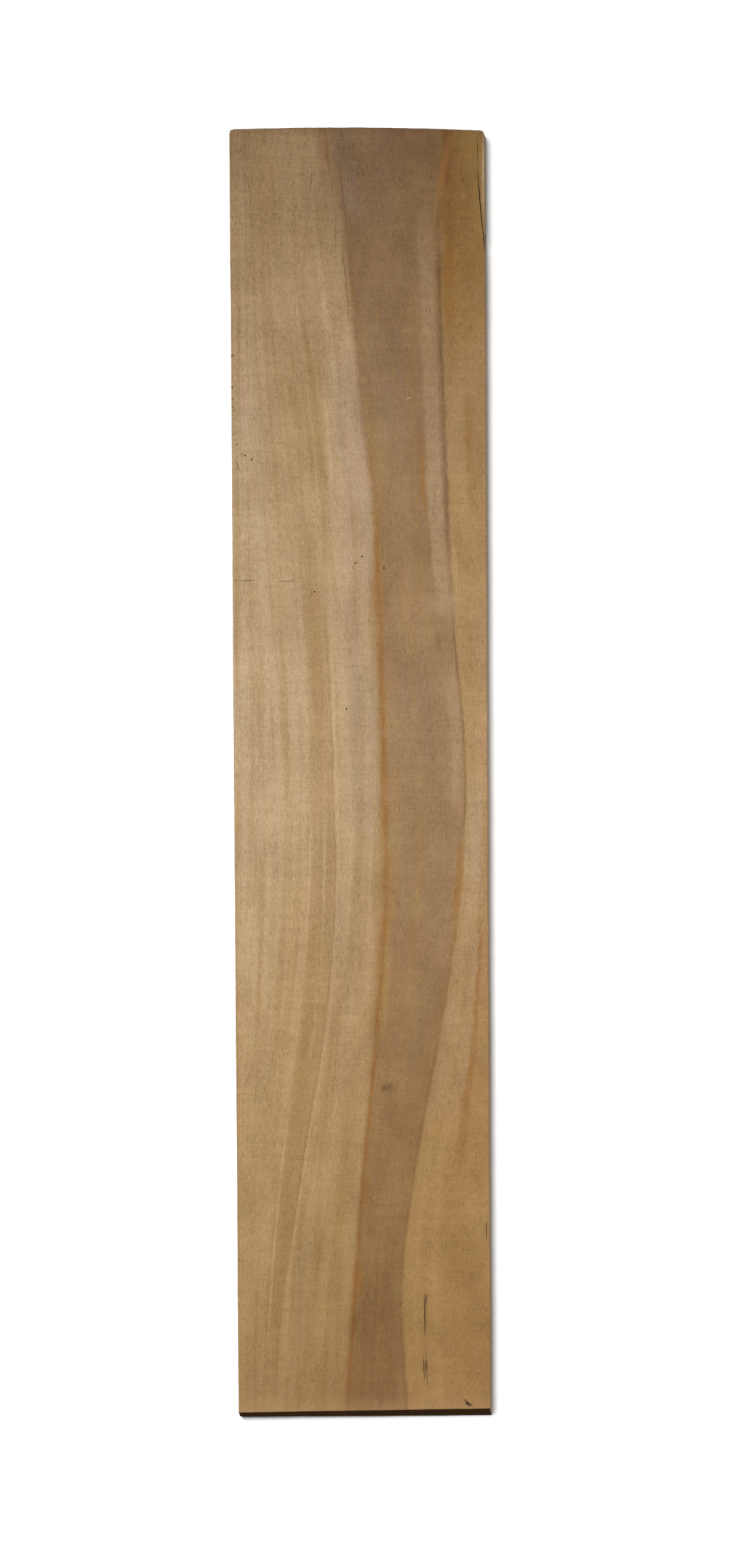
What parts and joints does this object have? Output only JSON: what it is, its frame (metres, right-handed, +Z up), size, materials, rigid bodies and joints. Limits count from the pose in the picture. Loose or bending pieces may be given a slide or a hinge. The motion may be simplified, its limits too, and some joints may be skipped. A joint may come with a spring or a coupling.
{
  "type": "beech plank",
  "caption": "Short rough-sawn hardwood plank with a crowned head cut, a leaning foot cut, an edge split, end shakes and pin holes.",
  "frame": {"origin": "centre of the underside, midway along the overall length and width", "axes": "+Y along the board from the leaning foot cut to the crowned head, +X to the right edge where the split runs out, +Z up through the thickness; the board lies flat on its underside"},
  "size_m": [0.0994, 0.5, 0.027],
  "materials": {
    "beech": "rough-sawn, unfinished, weathered"
  },
  "bodies": {
    "root": {"plank": "beech"}
  },
  "joints": []
}
